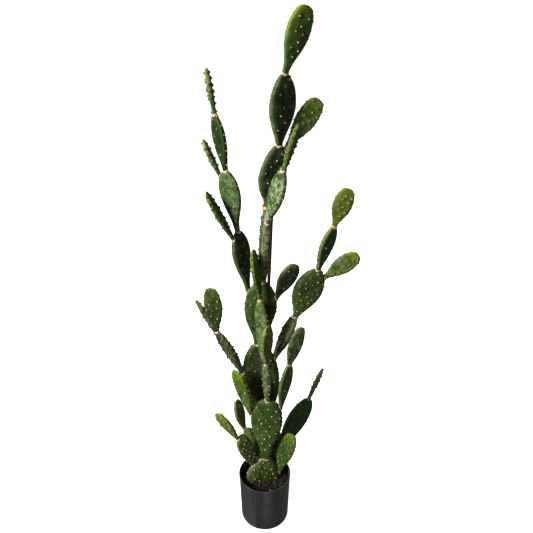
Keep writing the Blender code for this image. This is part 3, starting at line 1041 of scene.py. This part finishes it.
def make_pads(finishes: Finishes) -> None:
    """Makes the whole plant, parents before daughters.

    Args:
        finishes: The plant's materials.
    """
    dense, mid = 17 * MM, 21 * MM
    old, mature, young = Age.OLD, Age.MATURE, Age.YOUNG
    knobbly = {"spacing": dense, "knobs": 2.8 * MM, "knob_radius": 3.8 * MM, "rim_knobs": 2.0 * MM}
    plan = [
        # The bright tip tint here also lightens a pad that lies in shade: painted light.
        CactusPad("trunk_pad_1", "soil", old, scars=0.6, youth=0.3),
        CactusPad("trunk_pad_2", "trunk_pad_1", old, painted_shade=0.6, tone=0.3, bend=3 * MM),
        CactusPad("trunk_pad_3", "trunk_pad_2", mature, painted_shade=0.45, tone=0.45, bend=-2 * MM),
        CactusPad(
            "trunk_pad_4", "trunk_pad_3", old,
            scars=0.9, bloom=0.2, painted_shade=0.5, tone=0.05, **knobbly,
        ),
        CactusPad("trunk_pad_5", "trunk_pad_4", mature, painted_shade=1.0, tone=0.5, bend=2 * MM),
        CactusPad("trunk_pad_6", "trunk_pad_5", mature, painted_shade=0.9, tone=0.4, bend=-2 * MM),
        CactusPad("trunk_pad_7", "trunk_pad_6", young, mid, youth=0.8, painted_shade=0.35, tone=0.75),
        CactusPad("crown_side_pad_1", "trunk_pad_4", mature, mid, bloom=0.85, tone=0.4, knobs=2.2 * MM),
        CactusPad(
            "crown_side_pad_2", "crown_side_pad_1", young,
            youth=0.35, painted_shade=0.8, tone=0.2, **knobbly,
        ),
        CactusPad("crown_back_pad", "trunk_pad_5", young, mid, youth=0.8, scars=1.0, tone=0.6),
        CactusPad("left_arm_pad_1", "trunk_pad_3", mature, painted_shade=1.0, tone=0.1, knobs=2.2 * MM),
        CactusPad(
            "left_arm_pad_2", "left_arm_pad_1", mature,
            bloom=0.3, youth=0.1, tone=0.35, knobs=2.4 * MM,
        ),
        CactusPad("left_arm_pad_3", "left_arm_pad_2", mature, painted_shade=1.0, bloom=0.0, scars=0.0),
        CactusPad("left_arm_pad_4", "left_arm_pad_3", young, youth=0.4, tone=0.1, **knobbly),
        CactusPad("left_arm_bud_1", "left_arm_pad_1", young, youth=0.4, tone=0.1, **knobbly),
        CactusPad("left_arm_bud_2", "left_arm_pad_2", young, youth=0.4, tone=0.2, bloom=0.4, **knobbly),
        CactusPad("right_arm_pad_1", "trunk_pad_2", old, scars=1.0, painted_shade=0.3, tone=0.1, **knobbly),
        CactusPad("right_arm_pad_2", "right_arm_pad_1", mature, mid, youth=0.15, tone=0.6),
        CactusPad("right_arm_pad_3", "right_arm_pad_2", mature, painted_shade=0.5, youth=0.6),
        CactusPad(
            "right_arm_pad_4", "right_arm_pad_3", young, dense,
            youth=1.0, leaf_tint_and_painted_light=0.9, knobs=2.6 * MM,
        ),
        CactusPad(
            "right_arm_side_pad", "right_arm_pad_2", young, dense,
            youth=1.0, bloom=0.25, leaf_tint_and_painted_light=0.45, tone=0.3,
        ),
        CactusPad("shoulder_pad", "trunk_pad_3", young, mid, youth=0.3, painted_shade=1.0, tone=0.3),
        CactusPad(
            "low_left_pad_1", "trunk_pad_2", old,
            scars=0.4, bloom=0.2, painted_shade=0.9, tone=0.1, **knobbly,
        ),
        CactusPad(
            "low_left_pad_2", "low_left_pad_1", young, mid,
            youth=0.35, painted_shade=0.9, bloom=0.0, tone=0.65,
        ),
        CactusPad(
            "low_left_pad_3", "low_left_pad_1", young, mid,
            youth=0.3, scars=0.4, bloom=0.0, painted_shade=0.8, tone=0.3,
        ),
        CactusPad("front_pad_1", "soil", mature, mid, scars=0.45, painted_shade=0.45, tone=0.7),
        CactusPad(
            "front_pad_2", "front_pad_1", mature,
            bend=-2 * MM, tone=0.85, knobs=1.8 * MM, felt_radius=2.9 * MM,
        ),
        CactusPad("front_pad_3", "front_pad_2", mature, scars=0.5, bloom=0.4, tone=0.4, **knobbly),
        CactusPad(
            "front_side_pad", "front_pad_3", young,
            youth=0.7, scars=1.0, leaf_tint_and_painted_light=0.7, tone=0.1, **knobbly,
        ),
        CactusPad("front_pad_4", "front_pad_3", mature, youth=0.5, bloom=0.4, tone=0.4),
        CactusPad("front_pad_5", "front_pad_4", young, mid, youth=0.5, painted_shade=0.2, tone=0.1),
        CactusPad("front_left_pad", "front_pad_2", young, mid, youth=0.7, tone=0.6),
        CactusPad("front_right_pad_1", "front_pad_2", mature, youth=0.2, leaf_tint_and_painted_light=0.2, tone=0.4),
        CactusPad(
            "front_right_pad_2", "front_right_pad_1", mature,
            youth=0.1, scars=1.0, bloom=0.5, leaf_tint_and_painted_light=0.1, tone=0.1,
        ),
        CactusPad("back_right_pad_1", "trunk_pad_1", mature, painted_shade=0.25, tone=0.2),
        CactusPad(
            "back_right_pad_2", "back_right_pad_1", mature,
            youth=0.4, bloom=0.8, leaf_tint_and_painted_light=0.3, tone=0.2,
        ),
        CactusPad(
            "base_left_pad_1", "front_pad_1", mature, dense,
            youth=0.3, scars=0.8, leaf_tint_and_painted_light=0.1, tone=0.6,
        ),
        CactusPad(
            "base_left_pad_2", "base_left_pad_1", young, dense,
            youth=0.9, leaf_tint_and_painted_light=0.4, tone=0.3, knobs=2.6 * MM,
        ),
        CactusPad("back_left_pad_1", "front_pad_1", mature, mid, youth=0.1, leaf_tint_and_painted_light=0.35),
        CactusPad(
            "back_left_pad_2", "back_left_pad_1", mature,
            scars=1.0, bloom=0.6, youth=0.3, leaf_tint_and_painted_light=0.7, tone=0.1,
        ),
        CactusPad(
            "base_right_pad", "front_pad_1", young, dense,
            youth=0.65, tone=0.5, felt_radius=2.1 * MM,
        ),
    ]
    made: dict[str, CactusPad] = {}
    for pad in plan:
        pad.build(finishes, made)
        made[pad.name] = pad
        LOG.info("%s made", pad.name)


# Pot, soil, cane and tie


@dataclass
class NurseryPot:
    """The turned tub: a banded rim, a straight tapered wall and a rounded foot."""

    wall: float = 2 * MM
    floor: float = 2.5 * MM
    band: float = 8 * MM
    step: float = 1.2 * MM
    foot_round: float = 8 * MM
    lip_round: float = 0.8 * MM
    band_round: float = 0.6 * MM
    groove_round: float = 0.5 * MM
    draft: float = 0.02
    foot_radius: float = 78 * MM
    sides: int = 144
    crease: float = 50.0

    def build(self) -> None:
        """Makes the pot."""
        low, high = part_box("pot")
        radius, height = (high[0] - low[0]) / 2, high[2]
        inner = radius - self.step - self.wall
        band_low = height - self.band
        under = radius - self.step - self.band * self.draft
        lip_low = height - self.lip_round
        foot_centre = (self.foot_radius - self.foot_round, self.foot_round)
        band_centre = (radius - self.band_round, band_low + self.band_round)
        groove_centre = (under + self.groove_round, band_low - self.groove_round)
        profile = [(0.0, self.floor)]
        profile += arc(foot_centre, self.foot_round - self.floor, -90, 0, 6)
        profile += arc((inner + self.lip_round, lip_low), self.lip_round, 180, 90, 5)
        profile += arc((radius - self.lip_round, lip_low), self.lip_round, 90, 0, 5)
        profile += arc(band_centre, self.band_round, 0, -90, 3)
        profile += arc(groove_centre, self.groove_round, 90, 180, 3)
        profile += arc(foot_centre, self.foot_round, 0, -90, 10)
        profile += [(self.foot_radius - 2 * self.foot_round, 0.0), (0.0, 0.0)]
        bm = spun(profile, self.sides)
        piece = make_piece("pot_shell", bm, PotPlastic().build())
        piece.data.set_sharp_from_angle(angle=math.radians(self.crease))
        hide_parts("pot")


@dataclass
class SoilBed:
    """The potting mix, with bark chips and perlite lying on it."""

    relief: float = 2.2 * MM
    heap: float = 4 * MM
    base_share: float = 0.6
    rings: int = 34
    sides: int = 120
    chips: int = 190
    chip_size: float = 3.4 * MM
    perlite: int = 48
    perlite_size: float = 1.2 * MM
    mix: Crumb = Crumb("potting_mix", (0.003, 0.0024, 0.0015), (0.016, 0.012, 0.007))
    bark: Crumb = Crumb("bark_chip", (0.008, 0.0055, 0.003), (0.052, 0.036, 0.019), 260.0, 0.8 * MM)
    stone: Crumb = Crumb("perlite_bit", (0.160, 0.140, 0.110), (0.480, 0.450, 0.390), 400.0, 0.5 * MM)
    random: Random = field(default_factory=lambda: Random(11))
    radius: float = field(init=False)
    top: float = field(init=False)

    def __post_init__(self) -> None:
        """Reads the soil's radius and top from its solid."""
        low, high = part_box("soil")
        self.radius = (high[0] - low[0]) / 2
        self.top = high[2]

    def surface(self, x: float, y: float) -> float:
        """Finds the soil's uneven top.

        Args:
            x: The place across the pot.
            y: The place from front to back.

        Returns:
            The height there.
        """
        share = min(math.hypot(x, y) / self.radius, 1.0)
        heap = self.top - self.heap * share**2
        lumps = noise.fractal(Vector((x * 70, y * 70, 1.7)), 0.8, 2.1, 4)
        return heap + self.relief * (lumps - 0.3)

    def build(self) -> None:
        """Makes the soil and what lies on it."""
        base = self.base_share * self.top
        profile = [(self.radius * step / self.rings, self.top) for step in range(self.rings + 1)]
        profile += [(self.radius - 1 * MM, base), (0.0, base)]
        bm = spun(profile, self.sides)
        for vert in bm.verts:
            if vert.co.z > 0.9 * self.top:
                vert.co.z = self.surface(vert.co.x, vert.co.y)
        piece = make_piece("soil_bed", bm, self.mix.build())
        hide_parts("soil")
        bark, stone = self.bark.build(), self.stone.build()
        self.scatter("bark_chips", bark, self.chips, self.chip_size, (1.5, 0.8, 0.4), math.pi)
        self.scatter("perlite_bits", stone, self.perlite, self.perlite_size, (1.0, 0.9, 0.8), 1.5)

    def scatter(
        self,
        name: str,
        material: bpy.types.Material,
        count: int,
        size: float,
        shape: tuple[float, float, float],
        spread: float,
    ) -> None:
        """Drops small chamfered bits on the soil.

        Args:
            name: The piece's name.
            material: Its finish.
            count: How many bits.
            size: Their usual half-size.
            shape: Their proportions.
            spread: How far round the pot they lie, to each side of its right-hand side.
        """
        bit = bmesh.new()
        bmesh.ops.create_cube(bit, size=2.0)
        bmesh.ops.bevel(
            bit, geom=bit.edges[:], offset=0.35, affect="EDGES", segments=1, profile=0.5, material=-1
        )
        template = bpy.data.meshes.new(name + "_bit")
        bit.to_mesh(template)
        bit.free()
        bm = bmesh.new()
        for _ in range(count):
            away = self.radius * math.sqrt(self.random.uniform(0.02, 0.93))
            angle = self.random.uniform(-spread, spread) - 0.5
            x, y = away * math.cos(angle), away * math.sin(angle)
            first = len(bm.verts)
            bm.from_mesh(template)
            bm.verts.ensure_lookup_table()
            scale = size * self.random.uniform(0.5, 1.3)
            turn = Matrix.Rotation(self.random.uniform(0, ANY_TURN), 4, "Z")
            tip = Matrix.Rotation(self.random.uniform(-0.5, 0.5), 4, "X")
            stretch = Matrix.Diagonal((*(scale * part for part in shape), 1.0))
            place = Matrix.Translation((x, y, self.surface(x, y) + 0.2 * scale))
            sit = place @ turn @ tip @ stretch
            bmesh.ops.transform(bm, matrix=sit, verts=bm.verts[first:])
        bpy.data.meshes.remove(template)
        make_piece(name, bm, material)


@dataclass
class BambooCane:
    """The support cane, with swollen nodes."""

    radius: float = 5 * MM
    node_radius: float = 5.9 * MM
    spacing: float = 150 * MM
    buried: float = 110 * MM
    end_slice: float = 4 * MM
    sides: int = 28

    def build(self) -> None:
        """Makes the cane along the line of its solid."""
        verts = node_triangles("support_cane")[0]
        low = verts[verts[:, 2] < verts[:, 2].min() + self.end_slice].mean(axis=0)
        high = verts[verts[:, 2] > verts[:, 2].max() - self.end_slice].mean(axis=0)
        line = Vector((high - low).tolist())
        profile = [(0.0, 0.0), (self.radius, 0.0)]
        height = self.buried
        while height < line.length - self.spacing * 0.3:
            height += self.spacing
            if height > line.length - 10 * MM:
                break
            profile += [
                (self.radius * 0.96, height - 12 * MM),
                (self.radius, height - 3 * MM),
                (self.node_radius, height - 0.8 * MM),
                (self.radius * 0.93, height + 0.4 * MM),
                (self.node_radius * 0.96, height + 1.6 * MM),
                (self.radius, height + 6 * MM),
            ]
        profile += [(self.radius * 0.95, line.length - 1 * MM), (self.radius * 0.8, line.length)]
        profile.append((0.0, line.length))
        bm = spun(profile, self.sides)
        aim = Vector(UP).rotation_difference(line).to_matrix().to_4x4()
        bmesh.ops.transform(bm, matrix=Matrix.Translation(Vector(low.tolist())) @ aim, verts=bm.verts)
        piece = make_piece("cane_shaft", bm, CaneSkin().build())
        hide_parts("support_cane")


@dataclass
class CaneTie:
    """The loop of tape, with the form of its solid."""

    edge_round: float = 0.5 * MM
    weld: float = 0.01 * MM

    def build(self) -> None:
        """Makes the tape from its solid, with softened edges."""
        verts, tris = node_triangles("cane_tie")
        bm = bmesh.new()
        made = [bm.verts.new(tuple(co)) for co in verts]
        for tri in tris:
            bm.faces.new([made[index] for index in tri])
        bmesh.ops.remove_doubles(bm, verts=bm.verts, dist=self.weld)
        bmesh.ops.dissolve_limit(bm, angle_limit=math.radians(1), verts=bm.verts, edges=bm.edges)
        sharp = [edge for edge in bm.edges if edge.calc_face_angle(0.0) > math.radians(60)]
        bmesh.ops.bevel(
            bm, geom=sharp, offset=self.edge_round, affect="EDGES", segments=3, profile=0.5, material=-1
        )
        bmesh.ops.recalc_face_normals(bm, faces=bm.faces)
        piece = make_piece("tie_tape", bm, TieTape().build())
        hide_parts("cane_tie")


# Studio


@dataclass(frozen=True)
class SoftLight:
    """A square soft light that is aimed at the middle of the plant."""

    name: str
    place: tuple[float, float, float]
    size: float
    power: float
    aim: tuple[float, float, float] = (0.0, 0.0, 0.8)

    def build(self) -> None:
        """Makes the light."""
        light = bpy.data.lights.new(self.name, "AREA")
        light.size = self.size
        light.energy = self.power
        lamp = bpy.data.objects.new(self.name, light)
        lamp.location = self.place
        line = Vector(self.aim) - Vector(self.place)
        lamp.rotation_euler = line.to_track_quat("-Z", "Y").to_euler()
        bpy.context.scene.collection.objects.link(lamp)


@dataclass
class Studio:
    """A pale floor, a soft key light from the left, a weak one from behind, and the camera."""

    camera_back: float = 1.407
    camera_height: float = 1.693
    camera_tilt: float = 28.0
    lens: float = 40.3
    sensor: float = 36.0
    shift: float = 0.0032
    backdrop: float = 1.0
    fill: float = 0.18
    floor_half: float = 40.0
    floor_grey: float = 0.86
    key: SoftLight = SoftLight("key", (-2.7, -1.7, 2.6), 1.2, 260.0)
    back: SoftLight = SoftLight("back", (-1.4, 2.8, 1.6), 2.4, 60.0)

    def build(self) -> None:
        """Makes the floor, the lights and the camera."""
        self.make_floor()
        self.make_sky()
        self.key.build()
        self.back.build()
        self.make_camera()
        bpy.context.scene.view_settings.view_transform = "Standard"

    def make_floor(self) -> None:
        """Makes a wide pale floor."""
        bm = bmesh.new()
        bmesh.ops.create_grid(bm, x_segments=1, y_segments=1, size=self.floor_half)
        mesh = bpy.data.meshes.new("studio_floor")
        bm.to_mesh(mesh)
        bm.free()
        graph = Graph("pale_floor")
        graph.feed(graph.shader.inputs["Emission Color"], (1.0, 1.0, 1.0))
        grey = (self.floor_grey, self.floor_grey, self.floor_grey)
        mesh.materials.append(graph.finish(grey, 0.9, Emission_Strength=self.backdrop))
        floor = bpy.data.objects.new("studio_floor", mesh)
        bpy.context.scene.collection.objects.link(floor)
        floor.visible_diffuse = False
        floor.visible_glossy = False

    def make_sky(self) -> None:
        """Makes a dim sky that the camera sees as bright."""
        world = bpy.data.worlds.new("studio")
        bpy.context.scene.world = world
        world.use_nodes = True
        sky = world.node_tree.nodes["Background"]
        sky.inputs["Color"].default_value = (1.0, 1.0, 1.0, 1.0)
        path = world.node_tree.nodes.new("ShaderNodeLightPath")
        level = world.node_tree.nodes.new("ShaderNodeMath")
        level.operation = "MULTIPLY_ADD"
        level.inputs[1].default_value = self.backdrop - self.fill
        level.inputs[2].default_value = self.fill
        world.node_tree.links.new(path.outputs["Is Camera Ray"], level.inputs[0])
        world.node_tree.links.new(level.outputs[0], sky.inputs["Strength"])

    def make_camera(self) -> None:
        """Makes the camera, in front of the plant and above it."""
        data = bpy.data.cameras.new("camera")
        data.lens = self.lens
        data.sensor_width = self.sensor
        data.shift_x = self.shift
        camera = bpy.data.objects.new("camera", data)
        camera.location = (0.0, -self.camera_back, self.camera_height)
        camera.rotation_euler = (math.radians(90 - self.camera_tilt), 0.0, 0.0)
        bpy.context.scene.collection.objects.link(camera)
        bpy.context.scene.camera = camera


def main() -> None:
    """Builds the whole scene."""
    logging.basicConfig(level=logging.INFO)
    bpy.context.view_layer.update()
    Studio().build()
    finishes = Finishes()
    make_pads(finishes)
    for part in (NurseryPot(), SoilBed(), BambooCane(), CaneTie()):
        part.build()
        LOG.info("%s made", type(part).__name__)


if __name__ == "__main__":
    main()
